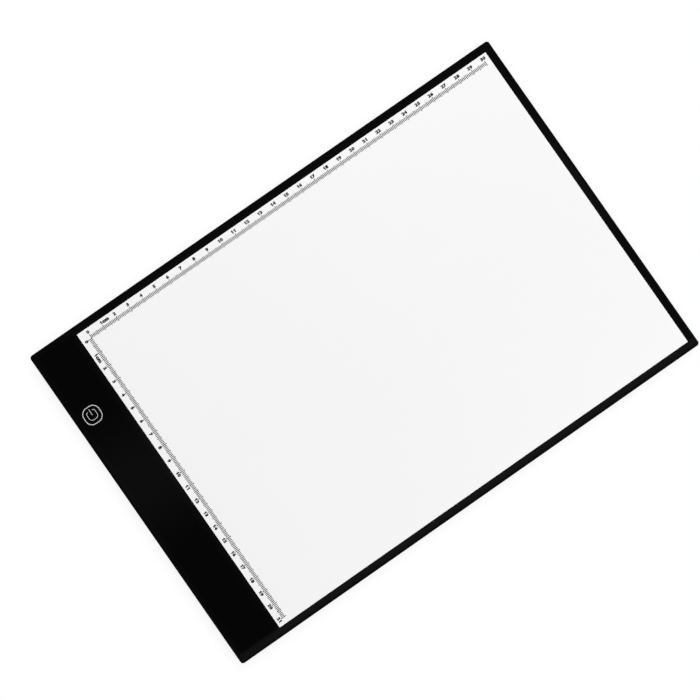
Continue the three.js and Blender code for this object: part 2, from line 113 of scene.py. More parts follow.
class RulerSizes(bpy.types.PropertyGroup):
    """Both printed rulers, measured from the pad's corner between the wide band and the long ruler."""

    long_zero: length("Long zero", "From the band's end to the long ruler's zero", 38.8)
    long_line: length("Long line", "From the long edge to the middle of its marks", 11.45)
    long_text: length("Long numerals", "From the long edge to the middle of its numerals", 7.95)
    long_count: whole("Long count", "Centimetres on the long ruler", 30)
    short_zero: length("Short zero", "From the long edge to the short ruler's zero", 12.6)
    short_line: length("Short line", "From the band's end to the middle of its marks", 37.8)
    short_text: length("Short numerals", "From the band's end to the middle of its numerals", 34.75)
    short_count: whole("Short count", "Centimetres on the short ruler", 21)
    fine_mark: length("Millimetre mark", "Length of a millimetre mark", 2.2)
    half_mark: length("Half mark", "Length of a half-centimetre mark", 2.9)
    full_mark: length("Centimetre mark", "Length of a centimetre mark", 3.4)
    short_extra: length("Short extra", "How much longer the short ruler's marks are at each end", 0.1)
    line_width: length("Line width", "Width of each printed mark", 0.475)
    numeral_height: length("Numeral height", "Height of the numerals", 2.22)
    numeral_pitch: length("Numeral pitch", "Distance between a number's two numerals", 1.8)
    numeral_weight: amount("Numeral weight", "How far the outlines are thickened", 0.058)
    numeral_swell: amount("Numeral swell", "How far the sides swell past the faces", 0.014)
    numeral_stretch: amount("Numeral stretch", "Widening of numerals and letters", 1.2, least=0.1)
    letter_spacing: amount("Letter spacing", "Spread of the unit's letters", 1.12, least=0.1)
    unit_gap: length("Unit gap", "From the numeral's middle to its unit's letters", 0.9)
    unit_scale: amount("Unit scale", "Size of the unit's letters beside numerals", 1.15, least=0.1)
    ink_height: length("Ink height", "How far the ink stands above the panel", 0.03)


class KeySizes(bpy.types.PropertyGroup):
    """The printed power key, a ring around an open ring and a bar."""

    from_end: length("From end", "From the wide band's end to the key's middle", 11.9)
    from_side: length("From side", "From the long edge to the key's middle", 52.0)
    ring_half: length("Ring half width", "From the key's middle to the ring's line", 5.6)
    ring_corner: length("Ring corner", "Corner radius of the ring's line", 4.45)
    ring_line: length("Ring line", "Width of the ring's line", 0.45)
    sign_half: length("Sign half width", "From the key's middle to the open ring's line", 2.95)
    sign_top: length("Sign top", "How far the open ring's ends stand above the middle", 2.8)
    sign_corner: length("Sign corner", "Radius of the open ring's lower corners", 2.1)
    sign_curl: length("Sign curl", "Radius of the open ring's upper corners", 1.1)
    sign_gap: length("Sign gap", "Half the opening between the open ring's ends", 1.7)
    sign_line: length("Sign line", "Width of the open ring's line and of the bar", 0.33)
    bar_top: length("Bar top", "Upper end of the bar's line above the middle", 4.05)
    bar_bottom: length("Bar bottom", "Lower end of the bar's line above the middle", 0.2)
    ink_height: length("Ink height", "How far the ink stands above the print", 0.03)


class InnerSizes(bpy.types.PropertyGroup):
    """Fine parts of the socket, the light guide, the LED strip and the control board."""

    contact_count: whole("Contacts", "Contacts under the socket's tongue", 5)
    contact_pitch: length("Contact pitch", "Distance between the contacts", 0.65)
    contact_width: length("Contact width", "Width of a contact", 0.3)
    contact_length: length("Contact length", "Length of a contact", 2.5)
    contact_inset: length("Contact inset", "From the tongue's end to its contacts", 0.25)
    contact_height: length("Contact height", "How far a contact stands off the tongue", 0.05)
    dot_pitch: length("Dot pitch", "Distance between the dots under the light guide", 1.2)
    window_length: length("Window length", "Length of an LED's emitting window", 2.16)
    window_height: length("Window height", "Height of an LED's emitting window", 0.86)
    window_depth: length("Window depth", "Depth of the recess behind an LED's window", 0.15)
    leg_height: length("Leg height", "How high the chips' legs reach above the board", 0.21)
    solder_radius: length("Solder radius", "Radius of a solder joint", 0.85)
    solder_height: length("Solder height", "Height of a solder joint", 0.95)


class FinishColors(bpy.types.PropertyGroup):
    """Colours of the pad's materials."""

    cover: tint("Cover", "Moulded back cover", 0.0024, 0.0024, 0.0025)
    panel: tint("Panel", "Milky drawing panel", 0.9)
    border: tint("Border", "Black print around the window", 0.0012)
    # Painted glow: the print's colour near the window and the rim, lighter than its own black.
    border_edge: tint("Border edge", "The print along its edges", 0.0048)
    ruler: tint("Ruler", "Ink of both rulers", 0.005)
    key: tint("Key", "Ink of the power key", 0.64)
    film: tint("Film", "Reflector and diffuser sheets", 0.93)
    guide: tint("Guide", "Acrylic light guide", 0.93, 0.965, 0.97)
    dots: tint("Dots", "White dots under the light guide", 0.97)
    clear_tape: tint("Clear tape", "Double-sided tape", 0.62, 0.59, 0.52)
    black_tape: tint("Black tape", "Light-blocking tape", 0.015)
    led_board: tint("LED board", "White solder mask", 0.75, 0.75, 0.71)
    control_board: tint("Control board", "Green solder mask", 0.008, 0.08, 0.028)
    copper: tint("Copper", "Traces seen through the green solder mask", 0.03, 0.19, 0.055)
    led_case: tint("LED case", "White LED housing", 0.86, 0.85, 0.8)
    phosphor: tint("Phosphor", "Yellow filling of an LED's window", 0.85, 0.62, 0.08)
    epoxy: tint("Epoxy", "Moulded chip body", 0.012, 0.012, 0.013)
    ceramic: tint("Ceramic", "Capacitor's body", 0.3, 0.2, 0.1)
    tin: tint("Tin", "Solder and tinned ends", 0.6, 0.6, 0.58)
    gold: tint("Gold", "Plated contacts", 0.75, 0.5, 0.16)
    steel: tint("Steel", "Nickel-plated steel", 0.55, 0.56, 0.57)
    foam: tint("Foam", "Conductive foam under the key", 0.07, 0.07, 0.075)
    red_wire: tint("Red wire", "Insulation of the red lead", 0.45, 0.012, 0.012)
    black_wire: tint("Black wire", "Insulation of the black lead", 0.01)
    rubber: tint("Rubber", "Moulded feet", 0.01)


class StageSizes(bpy.types.PropertyGroup):
    """Camera, lamps and floor."""

    lens: amount("Lens", "Focal length in millimetres", 70.0, least=1.0)
    camera_place: FloatVectorProperty(
        name="Camera place",
        description="Where the camera stands",
        default=(-0.02664, -0.00389, 0.8537),
        subtype="TRANSLATION",
        precision=5,
    )
    camera_view: FloatVectorProperty(
        name="Camera view",
        description="The direction in which the camera looks",
        default=(0.02227, 0.01143, -0.99969),
        subtype="DIRECTION",
        precision=5,
    )
    camera_turn: FloatProperty(
        name="Camera turn",
        description="From the pad's +Y to the image's upward direction, clockwise seen from above",
        default=math.radians(34.847),
        subtype="ANGLE",
    )
    key_strength: amount("Key strength", "Strength of the key sun", 1.69)
    fill_strength: amount("Fill strength", "Strength of the fill sun", 1.0)
    front_power: amount("Front power", "Power of the front soft box", 0.47)
    rear_power: amount("Rear power", "Power of the rear soft box", 1.42)
    card_power: amount("Card power", "Power of the dim wide card", 0.92)
    ambient: amount("Ambient", "World light on matt surfaces", 0.29)
    floor: tint("Floor", "Floor under the pad", 0.15)
    floor_glow: amount("Floor glow", "Whiteness of the floor in view, in gloss and through glass", 0.856)


class LightPadSettings(bpy.types.PropertyGroup):
    """All sizes and colours that the operators read."""

    rulers: PointerProperty(type=RulerSizes, name="Rulers", description="Printed rulers")
    key: PointerProperty(type=KeySizes, name="Power key", description="Printed power key")
    inner: PointerProperty(type=InnerSizes, name="Inner parts", description="Fine inner parts")
    colors: PointerProperty(type=FinishColors, name="Colours", description="Colours of the materials")
    stage: PointerProperty(type=StageSizes, name="Stage", description="Camera, lamps and floor")


def settings():
    """The light pad's settings in this scene."""
    return bpy.context.scene.light_pad


class Wire:
    """An output socket. Maths on it adds Math nodes to its own tree."""

    def __init__(self, tree, socket):
        self.tree = tree
        self.socket = socket

    def math(self, operation, *values):
        """A Math node of this tree on these values or wires."""
        node = self.tree.nodes.new("ShaderNodeMath")
        node.operation = operation
        for socket, value in zip(node.inputs, values):
            plug(self.tree, socket, value)
        return Wire(self.tree, node.outputs[0])

    def __add__(self, other):
        return self.math("ADD", self, other)

    def __sub__(self, other):
        return self.math("SUBTRACT", self, other)

    def __rsub__(self, other):
        return self.math("SUBTRACT", other, self)

    def __mul__(self, other):
        return self.math("MULTIPLY", self, other)

    def __truediv__(self, other):
        return self.math("DIVIDE", self, other)

    def __pow__(self, other):
        return self.math("POWER", self, other)

    def __abs__(self):
        return self.math("ABSOLUTE", self)

    __radd__ = __add__
    __rmul__ = __mul__

    def fraction(self):
        """How far this is past the whole number below it."""
        return self.math("FRACT", self)

    def above(self, edge):
        """1 where this is greater than the edge."""
        return self.math("GREATER_THAN", self, edge)

    def below(self, edge):
        """1 where this is less than the edge."""
        return self.math("LESS_THAN", self, edge)

    def larger(self, other):
        """The larger of the two."""
        return self.math("MAXIMUM", self, other)

    def smaller(self, other):
        """The smaller of the two."""
        return self.math("MINIMUM", self, other)

    def clamped(self):
        """This, held between 0 and 1."""
        return self.smaller(1.0).larger(0.0)

    def ramp(self, low, high):
        """0 below low, 1 above high and straight between them."""
        return ((self - low) / (high - low)).clamped()


def plug(tree, socket, value):
    """Sets a socket to a value, or links it to a wire."""
    if isinstance(value, Wire):
        tree.links.new(value.socket, socket)
    elif socket.type == "RGBA":
        socket.default_value = (*value, 1.0)
    else:
        socket.default_value = value


def found(sockets, key):
    """A socket by its identifier, or else by its name or its number."""
    for socket in sockets:
        if socket.identifier == key:
            return socket
    return sockets[key]


def times(color, factor):
    """A colour made lighter or darker."""
    return tuple(min(1.0, part * factor) for part in color)


class Nodes:
    """Fills a node tree. Every node but a Math node comes from node()."""

    def __init__(self, tree):
        self.tree = tree
        self.tree.nodes.clear()

    def node(self, kind, options, sockets, output=0):
        """A node of this kind, its options set first, then its sockets. Returns one output as a wire."""
        made = self.tree.nodes.new(kind)
        for name, value in options.items():
            setattr(made, name, value)
        for name, value in sockets.items():
            plug(self.tree, found(made.inputs, name), value)
        return Wire(self.tree, found(made.outputs, output)) if made.outputs else None

    def along(self, axis, vector):
        """One part of a vector: X, Y or Z."""
        return self.node("ShaderNodeSeparateXYZ", {}, {"Vector": vector}, axis)

    def vector_math(self, operation, *vectors):
        """A Vector Math node on one or two vectors."""
        sockets = dict(zip(("Vector", "Vector_001"), vectors))
        return self.node("ShaderNodeVectorMath", {"operation": operation}, sockets)

    def ray(self, kind):
        """1 on this kind of ray, such as Camera."""
        return self.node("ShaderNodeLightPath", {}, {}, f"Is {kind} Ray")


class Finish(Nodes):
    """A material. Its place is where a point lies in the frame's own axes, in metres."""

    def __init__(self, name):
        self.material = bpy.data.materials.new(name)
        self.material.use_nodes = True
        super().__init__(self.material.node_tree)
        self.place = self.node("ShaderNodeTexCoord", {}, {}, "Object")

    def noise(self, scale, detail=2.0, roughness=0.5, stretch=None):
        """Soft noise from 0 to 1, with scale cells a metre, fewer along an axis with a small stretch."""
        vector = self.vector_math("MULTIPLY", self.place, stretch) if stretch else self.place
        sockets = {"Vector": vector, "Scale": scale, "Detail": detail, "Roughness": roughness}
        return self.node("ShaderNodeTexNoise", {}, sockets, "Fac")

    def cells(self, scale):
        """Distance to the nearest of scattered points in cells, of which there are scale a metre."""
        return self.node("ShaderNodeTexVoronoi", {}, {"Vector": self.place, "Scale": scale}, "Distance")

    def mixed(self, factor, first, second):
        """One colour turned into another by a factor, which the Mix node holds between 0 and 1."""
        sockets = {"Factor_Float": factor, "A_Color": first, "B_Color": second}
        return self.node("ShaderNodeMix", {"data_type": "RGBA"}, sockets, "Result_Color")

    def shaded(self, factor, color, start, end):
        """A colour whose lightness goes from start to end times its own by a factor."""
        return self.mixed(factor, times(color, start), times(color, end))

    def surface(self, color, roughness, relief, depth, metallic=0.0, specular=0.5, ior=1.5, clear=0.0):
        """Completes the material. Its relief raises the surface by depth, in metres."""
        bump = {"Height": relief, "Distance": depth, "Strength": 1.0}
        sockets = {
            "Base Color": color,
            "Metallic": metallic,
            "Roughness": roughness,
            "IOR": ior,
            "Specular IOR Level": specular,
            "Transmission Weight": clear,
            "Normal": self.node("ShaderNodeBump", {}, bump),
        }
        shader = self.node("ShaderNodeBsdfPrincipled", {}, sockets)
        self.node("ShaderNodeOutputMaterial", {}, {"Surface": shader})
        return self.material


def new_object(name, data):
    """An object in the scene."""
    made = bpy.data.objects.new(name, data)
    bpy.context.scene.collection.objects.link(made)
    return made


def mesh_object(name, finish, fill):
    """A mesh of one finish, from a function that fills a bmesh."""
    shape = bmesh.new()
    fill(shape)
    mesh = bpy.data.meshes.new(name)
    shape.to_mesh(mesh)
    shape.free()
    mesh.materials.append(finish)
    return new_object(name, mesh)


def new_piece(name, finish, slot, fill, *values):
    """A solid piece that rides on the pad, from a function that fills a bmesh by these values."""

    def fill_outward(shape):
        fill(shape, *values)
        bmesh.ops.recalc_face_normals(shape, faces=shape.faces)

    piece = mesh_object(name, finish, fill_outward)
    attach(piece, BODY)


def loft(shape, rings, closed=False):
    """A solid through rings of points of the same count, with flat ends unless it closes on itself."""
    loops = [[shape.verts.new(point) for point in ring] for ring in rings]
    following = loops[1:] + loops[:1] if closed else loops[1:]
    for lower, upper in zip(loops, following):
        for i in range(len(lower)):
            shape.faces.new((lower[i - 1], lower[i], upper[i], upper[i - 1]))
    if not closed:
        shape.faces.new(loops[0][::-1])
        shape.faces.new(loops[-1])


def slab(shape, low, high):
    """A box between two corners."""
    corners = ((low[0], low[1]), (high[0], low[1]), (high[0], high[1]), (low[0], high[1]))
    loft(shape, [[(x, y, z) for x, y in corners] for z in (low[2], high[2])])


def ribbon(shape, points, widths, low, high, closed=False):
    """A flat band of ink or metal along a line of points, with a width at each point."""
    sections = []
    count = len(points)
    for i, (point, width) in enumerate(zip(points, widths)):
        before = points[i - 1] if closed or i > 0 else point
        after = points[(i + 1) % count] if closed or i + 1 < count else point
        along = (after - before).normalized()
        aside = Vector((-along.y, along.x)) * (width / 2)
        left = point + aside
        right = point - aside
        sections.append([(*left, low), (*right, low), (*right, high), (*left, high)])
    loft(shape, sections, closed)


def round_ended(shape, line, width, low, high):
    """A flat band along a line of points, with half-circle ends that stop at a short edge."""
    steps = 4
    tip_share = 0.5
    start = (line[0] - line[1]).normalized()
    end = (line[-1] - line[-2]).normalized()
    angles = [math.pi / 2 * (1 - step / (steps + tip_share)) for step in range(1, steps + 1)]
    caps = [(width / 2 * math.cos(angle), width * math.sin(angle)) for angle in angles]
    head = [(line[0] + start * reach, wide) for reach, wide in reversed(caps)]
    tail = [(line[-1] + end * reach, wide) for reach, wide in caps]
    points, widths = zip(*head, *((point, width) for point in line), *tail)
    ribbon(shape, points, widths, low, high)


def arc(centre, radius, start, end, steps=8):
    """Points on an arc between two angles in degrees."""
    angles = [math.radians(start + (end - start) * step / steps) for step in range(steps + 1)]
    return [centre + Vector((math.cos(angle), math.sin(angle))) * radius for angle in angles]


def rounded_outline(middle, half_width, half_height, radius, steps):
    """Points around a rectangle with round corners."""
    points = []
    for quarter, (side_x, side_y) in enumerate(((1, 1), (-1, 1), (-1, -1), (1, -1))):
        inset = Vector((side_x * (half_width - radius), side_y * (half_height - radius)))
        points += arc(middle + inset, radius, 90 * quarter, 90 * quarter + 90, steps)
    return points


def smooth_by_angle(name, sharp_angle):
    """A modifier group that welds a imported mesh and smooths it, but for its sharp edges."""
    weld = 1e-6
    group = bpy.data.node_groups.new(name, "GeometryNodeTree")
    for direction in ("INPUT", "OUTPUT"):
        group.interface.new_socket("Geometry", in_out=direction, socket_type="NodeSocketGeometry")
    nodes = Nodes(group)
    given = nodes.node("NodeGroupInput", {}, {}, "Geometry")
    plain = nodes.node("GeometryNodeRemoveAttribute", {}, {"Geometry": given, "Name": "custom_normal"})
    welded = nodes.node("GeometryNodeMergeByDistance", {}, {"Geometry": plain, "Distance": weld})
    smooth_faces = {"Geometry": welded, "Shade Smooth": True}
    smooth = nodes.node("GeometryNodeSetShadeSmooth", {"domain": "FACE"}, smooth_faces)
    turn = nodes.node("GeometryNodeInputMeshEdgeAngle", {}, {}, "Unsigned Angle")
    sharp_edges = {"Geometry": smooth, "Selection": turn.above(sharp_angle), "Shade Smooth": False}
    done = nodes.node("GeometryNodeSetShadeSmooth", {"domain": "EDGE"}, sharp_edges)
    nodes.node("NodeGroupOutput", {}, {"Geometry": done})
    return group


def paint(nodes, finish):
    """Gives CAD nodes a finish."""
    for name in nodes:
        materials = frame["nodes"][name].data.materials
        materials.clear()
        materials.append(finish)


def moulded_cover():
    """Black plastic, smooth along the rim and spark-eroded underneath."""
    coarse_to = COVER_LOW.z + 0.2 * MM
    smooth_from = COVER_LOW.z + 1.6 * MM
    finish = Finish("moulded_cover")
    grain = finish.noise(3200.0, detail=3.0, roughness=0.65)
    pits = finish.cells(2100.0)
    cloud = finish.noise(35.0)
    under = 1.0 - finish.along("Z", finish.place).ramp(coarse_to, smooth_from)
    shade = finish.shaded(grain * 0.5 + cloud * 0.5, settings().colors.cover, 0.7, 1.5)
    roughness = 0.2 + under * 0.33 + cloud * 0.04
    relief = grain * (0.15 + under) + pits * under * 0.7
    return finish.surface(shade, roughness, relief, 0.012 * MM, specular=0.22)


def milky_panel():
    """Opal acrylic with a satin face and the faintest cloud in its white."""
    finish = Finish("milky_panel")
    cloud = finish.noise(14.0, detail=3.0)
    fine = finish.noise(5200.0)
    dust = finish.cells(420.0).below(0.02)
    shade = finish.shaded(cloud * 0.6 + dust * 0.5, settings().colors.panel, 1.0, 0.985)
    roughness = 0.38 + fine * 0.06 + cloud * 0.04
    return finish.surface(shade, roughness, fine, 0.0015 * MM, specular=0.35)


def glossy_print():
    """Black screen print under a gloss, with a painted glow that lightens it near the window and the rim, and
    wipe marks.
    """
    colors = settings().colors
    window_start = COVER_LOW.x + WIDE_BAND
    window_end = COVER_HIGH.x - NARROW_BORDER
    window_side = COVER_HIGH.y - NARROW_BORDER
    reach = 5.0 * MM
    finish = Finish("glossy_print")
    across = finish.along("X", finish.place)
    aside = abs(finish.along("Y", finish.place))
    past_window = (window_start - across).larger(across - window_end).larger(aside - window_side)
    from_rim = (COVER_HIGH.x - abs(across)).smaller(COVER_HIGH.y - aside)
    # Painted glow: 1 within reach of the window and of the rim, where the print is painted lighter.
    edge = (1.0 - past_window.ramp(0.0, reach)) + (1.0 - from_rim.ramp(0.0, reach))
    wipe = finish.noise(260.0, detail=4.0, stretch=(1.0, 0.12, 1.0))
    cloud = finish.noise(22.0)
    dust = finish.cells(300.0).below(0.025)
    tone = edge * 0.5 + cloud * 0.06 + dust * 0.1
    shade = finish.mixed(tone, colors.border, colors.border_edge)
    return finish.surface(shade, 0.015 + wipe * 0.02 + dust * 0.2, cloud, 0.002 * MM)


def printed_ink(name, color, roughness):
    """Screen-printed ink, a little uneven where it passed the mesh."""
    finish = Finish(name)
    mesh = finish.noise(6500.0, detail=1.0)
    coat = finish.noise(90.0)
    shade = finish.shaded(mesh * 0.5 + coat * 0.5, color, 0.85, 1.12)
    return finish.surface(shade, roughness + mesh * 0.12, mesh, 0.002 * MM)


def film(name, color, roughness):
    """White polyester film with a faint drawn streak."""
    finish = Finish(name)
    streak = finish.noise(900.0, stretch=(0.02, 1.0, 1.0))
    shade = finish.shaded(finish.noise(18.0), color, 1.0, 0.95)
    return finish.surface(shade, roughness + streak * 0.12, streak, 0.003 * MM)


def dotted_guide():
    """Clear acrylic with white dots under it, which grow away from the LEDs."""
    colors = settings().colors
    pitch = settings().inner.dot_pitch
    low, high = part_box("light_guide_plate")
    finish = Finish("dotted_guide")
    across = finish.along("X", finish.place)
    dot_x = (across / pitch).fraction() - 0.5
    dot_y = (finish.along("Y", finish.place) / pitch).fraction() - 0.5
    from_dot = (dot_x * dot_x + dot_y * dot_y) ** 0.5
    dot_radius = 0.16 + across.ramp(low.x, high.x) * 0.22
    under = finish.along("Z", finish.place).below(low.z + 0.1 * MM)
    dots = from_dot.below(dot_radius) * under
    scuff = finish.noise(700.0, detail=3.0)
    shade = finish.mixed(dots, colors.guide, colors.dots)
    roughness = 0.05 + dots * 0.5 + scuff * 0.05
    return finish.surface(shade, roughness, dots + scuff * 0.1, 0.01 * MM, ior=1.49, clear=0.85)


def tape(name, color, roughness):
    """Thin tape with small trapped bubbles and fibres."""
    finish = Finish(name)
    bubbles = finish.cells(900.0).below(0.18)
    fibre = finish.noise(1500.0, detail=3.0)
    shade = finish.shaded(fibre * 0.7 + bubbles * 0.3, color, 0.85, 1.15)
    return finish.surface(shade, roughness + fibre * 0.15, bubbles + fibre * 0.4, 0.01 * MM)


def circuit_board(name, color, copper, axes, pitch):
    """Solder mask in the plane of two axes, over traces, vias and poured areas that stand a little proud.

    The pattern is a grid of square tiles of the pitch, each with a straight or slanting pair of traces
    by chance, and of larger patches, some of which are poured. Its sizes are shares of a tile.
    """
    patch = 6
    trace_half = 0.12
    trace_edge = 0.16
    via_radius = 0.26
    via_edge = 0.32
    pour_half = 0.44
    slant = math.sqrt(0.5)
    across, aside = axes
    finish = Finish(name)

    def tiles(size):
        """A chance for each tile of this size, and the place on it from its middle."""
        scale = [1.0 / (size * pitch) if axis in axes else 0.0 for axis in "XYZ"]
        grid = finish.vector_math("MULTIPLY", finish.place, scale)
        tile = finish.vector_math("FLOOR", grid)
        within = finish.vector_math("FRACTION", grid)
        chance = finish.node("ShaderNodeTexWhiteNoise", {"noise_dimensions": "3D"}, {"Vector": tile}, "Value")
        return chance, finish.along(across, within) - 0.5, finish.along(aside, within) - 0.5

    chance, u, v = tiles(1)
    rising = abs(abs(u - v) - 0.5) * slant
    falling = abs(abs(u + v) - 0.5) * slant
    straight = abs(u).smaller(abs(v))
    is_rising = chance.below(0.3)
    is_falling = chance.above(0.6)
    has_via = chance.above(0.93)
    away = is_rising * rising + is_falling * falling + (1.0 - is_rising - is_falling) * straight
    traces = 1.0 - away.ramp(trace_half, trace_edge)
    vias = (1.0 - ((u * u + v * v) ** 0.5).ramp(via_radius, via_edge)) * has_via
    patch_chance, patch_u, patch_v = tiles(patch)
    is_poured = patch_chance.above(0.7)
    poured = is_poured * abs(patch_u).larger(abs(patch_v)).below(pour_half)
    raised = traces.larger(vias).larger(poured)
    weave = finish.noise(2500.0)
    shade = finish.mixed(raised * 0.8 + weave * 0.2, color, copper)
    return finish.surface(shade, 0.32 + weave * 0.12, raised + weave * 0.15, 0.02 * MM)


def grained(name, color, shades, scale, roughness, detail=2.0, swing=0.15, depth=0.006 * MM, metallic=0.0):
    """A finish whose one fine grain varies its shade between two, its gloss and its surface."""
    finish = Finish(name)
    grain = finish.noise(scale, detail)
    shade = finish.shaded(grain, color, *shades)
    return finish.surface(shade, roughness + grain * swing, grain, depth, metallic)


def led_case():
    """White LED housing with a faint flow mark."""
    color = settings().colors.led_case
    return grained("led_case", color, shades=(0.93, 1.0), scale=1300.0, roughness=0.35, depth=0.004 * MM)


def insulation(name, color):
    """Wire insulation, drawn along its length."""
    return grained(name, color, shades=(0.85, 1.15), scale=1800.0, roughness=0.4)


def solder():
    """Bright solder with a slightly frosted skin."""
    color = settings().colors.tin
    return grained(
        "solder", color, shades=(0.9, 1.15), scale=5000.0, roughness=0.18, detail=3.0, swing=0.2, metallic=1.0
    )


def phosphor():
    """Yellow silicone with grains of phosphor."""
    finish = Finish("phosphor")
    grains = finish.cells(16000.0)
    shade = finish.shaded(grains, settings().colors.phosphor, 1.0, 0.7)
    return finish.surface(shade, 0.2 + grains * 0.2, grains, 0.004 * MM)


def part_tinned(finish, tinned, color, shades, scale, roughness, polish, depth):
    """Completes a grained finish that is bare tin where tinned is 1, and smoother there by its polish."""
    grain = finish.noise(scale, detail=3.0)
    shade = finish.mixed(tinned, finish.shaded(grain, color, *shades), settings().colors.tin)
    return finish.surface(shade, roughness - tinned * polish + grain * 0.12, grain, depth, tinned)


def legged_chip():
    """Moulded epoxy above tinned legs, which lie flat on the board."""
    legs_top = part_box("control_board")[1].z + settings().inner.leg_height
    epoxy = settings().colors.epoxy
    finish = Finish("legged_chip")
    legs = finish.along("Z", finish.place).below(legs_top)
    return part_tinned(
        finish, legs, epoxy, shades=(0.8, 1.5), scale=9000.0, roughness=0.5, polish=0.2, depth=0.004 * MM
    )


def capped_chip(name, color, axis):
    """A chip part with a tinned cap at each end along an axis."""
    bare_share = 0.3
    finish = Finish(name)
    share = finish.along(axis, finish.node("ShaderNodeTexCoord", {}, {}, "Generated"))
    caps = abs(share - 0.5).above(bare_share)
    return part_tinned(
        finish, caps, color, shades=(0.85, 1.15), scale=7000.0, roughness=0.42, polish=0.14, depth=0.005 * MM
    )


def plated_metal(name, color, roughness, line_scale):
    """Plated sheet metal with fine drawing lines."""
    finish = Finish(name)
    lines = finish.noise(line_scale, stretch=(0.04, 1.0, 1.0))
    shade = finish.shaded(finish.noise(800.0), color, 0.85, 1.1)
    return finish.surface(shade, roughness + lines * 0.16, lines, 0.002 * MM, metallic=1.0)


def open_foam():
    """Dark conductive foam with open cells, with painted shade in each cell's hollow."""
    finish = Finish("open_foam")
    holes_and_shade = finish.cells(3800.0).ramp(0.25, 0.55)
    crumb = finish.noise(5200.0, detail=3.0)
    # Painted shade: the colour darkens in the cell hollows, which the bump also sinks.
    shade = finish.shaded(holes_and_shade * 0.7 + crumb * 0.3, settings().colors.foam, 0.35, 1.5)
    return finish.surface(shade, 0.85 + holes_and_shade * 0.1, holes_and_shade + crumb * 0.3, 0.06 * MM)


def foot_rubber():
    """Matt moulded rubber with dust held in its grain."""
    finish = Finish("foot_rubber")
    grain = finish.noise(2600.0, detail=4.0, roughness=0.7)
    dust = finish.noise(420.0).ramp(0.55, 0.8)
    shade = finish.shaded(grain * 0.4 + dust * 0.6, settings().colors.rubber, 0.8, 2.4)
    return finish.surface(shade, 0.78 + grain * 0.15, grain, 0.025 * MM)


def span(shape, axis):
    """Lowest and highest place of a bmesh along an axis."""
    places = [vertex.co[axis] for vertex in shape.verts]
    return min(places), max(places)


class Lettering:
    """The rulers' bold numerals and letters, drawn one unit thick in the font's own size, then scaled."""

    thin_stem = 0.098
    flag_reach = 0.24
    flag_drop = 0.2
    flag_tip_share = 0.9
    flag_root_share = 0.45

    def __init__(self, sizes):
        self.sizes = sizes
        zero = self.font("0")
        self.low, self.high = span(zero, 1)
        self.middle = (self.low + self.high) / 2
        self.scale = sizes.numeral_height / (self.high - self.low)
        zero.free()

    def font(self, text):
        """Letters of the built-in font as a bmesh."""
        curve = bpy.data.curves.new("label", "FONT")
        curve.body = text
        curve.offset = self.sizes.numeral_weight
        curve.space_character = self.sizes.letter_spacing
        curve.extrude = 0.5 - self.sizes.numeral_swell
        curve.bevel_depth = self.sizes.numeral_swell
        curve.bevel_resolution = 0
        curve.resolution_u = 3
        holder = new_object("label", curve)
        bpy.context.view_layer.update()
        evaluated = holder.evaluated_get(bpy.context.evaluated_depsgraph_get())
        mesh = bpy.data.meshes.new_from_object(evaluated)
        letters = bmesh.new()
        letters.from_mesh(mesh)
        bmesh.ops.remove_doubles(letters, verts=letters.verts, dist=1e-5)
        bmesh.ops.dissolve_degenerate(letters, edges=letters.edges, dist=1e-4)
        bmesh.ops.translate(letters, vec=(0.0, 0.0, 0.5), verts=letters.verts)
        bpy.data.objects.remove(holder)
        bpy.data.curves.remove(curve)
        bpy.data.meshes.remove(mesh)
        return letters

    def flagged_one(self):
        """A numeral 1 with a slanting flag as a bmesh, since the font's own has none."""
        stem = self.thin_stem + 2 * (self.sizes.numeral_weight + self.sizes.numeral_swell)
        tip = -self.flag_reach
        shoulder = self.high - self.flag_drop
        outline = (
            (stem / 2, self.low),
            (stem / 2, self.high),
            (-stem / 4, self.high),
            (tip, shoulder),
            (tip, shoulder - stem * self.flag_tip_share),
            (-stem / 2, shoulder - stem * self.flag_root_share),
            (-stem / 2, self.low),
        )
        one = bmesh.new()
        loft(one, [[(x, y, z) for x, y in outline] for z in (0.0, 1.0)])
        return one

    def numeral(self, sign):
        """A numeral as a bmesh. A 9 is a turned 6, because the font's own breaks up when it is thickened."""
        if sign == "1":
            return self.flagged_one()
        if sign == "9":
            turned = self.font("6")
            centre = (sum(span(turned, 0)) / 2, self.middle, 0.0)
            bmesh.ops.rotate(turned, verts=turned.verts, cent=centre, matrix=Matrix.Rotation(math.pi, 3, "Z"))
            return turned
        return self.font(sign)

    def add(self, shape, letters, offset, scale, placement):
        """Scales letters, moves them by an offset on their line, places them and adds them to a bmesh."""
        thickness = 2 * self.sizes.ink_height
        sized = Matrix.Diagonal((scale * self.sizes.numeral_stretch, scale, thickness, 1.0))
        letters.transform(placement @ Matrix.Translation((*offset, 0.0)) @ sized)
        mesh = bpy.data.meshes.new("label")
        letters.to_mesh(mesh)
        letters.free()
        shape.from_mesh(mesh)
        bpy.data.meshes.remove(mesh)

    def add_number(self, shape, number, placement):
        """Adds a number to a bmesh, its numerals side by side around the placement's origin."""
        written = str(number)
        wide = self.scale * self.sizes.numeral_stretch
        for order, sign in enumerate(written):
            letter = self.numeral(sign)
            start, end = span(letter, 0)
            along = (order - (len(written) - 1) / 2) * self.sizes.numeral_pitch
            offset = (along - (start + end) / 2 * wide, -self.middle * self.scale)
            self.add(shape, letter, offset, self.scale, placement)

    def add_unit(self, shape, text, placement):
        """Adds a unit's letters to a bmesh, after the number at the placement's origin."""
        letters = self.font(text)
        start = span(letters, 0)[0]
        grown = self.scale * self.sizes.unit_scale
        ahead = self.sizes.unit_gap - start * grown * self.sizes.numeral_stretch
        baseline = (self.low - self.middle) * self.scale - self.low * grown
        self.add(shape, letters, (ahead, baseline), grown, placement)


def mark_length(sizes, millimetre):
    """How long the mark at this millimetre is."""
    if millimetre % 10 == 0:
        return sizes.full_mark
    return sizes.half_mark if millimetre % 5 == 0 else sizes.fine_mark


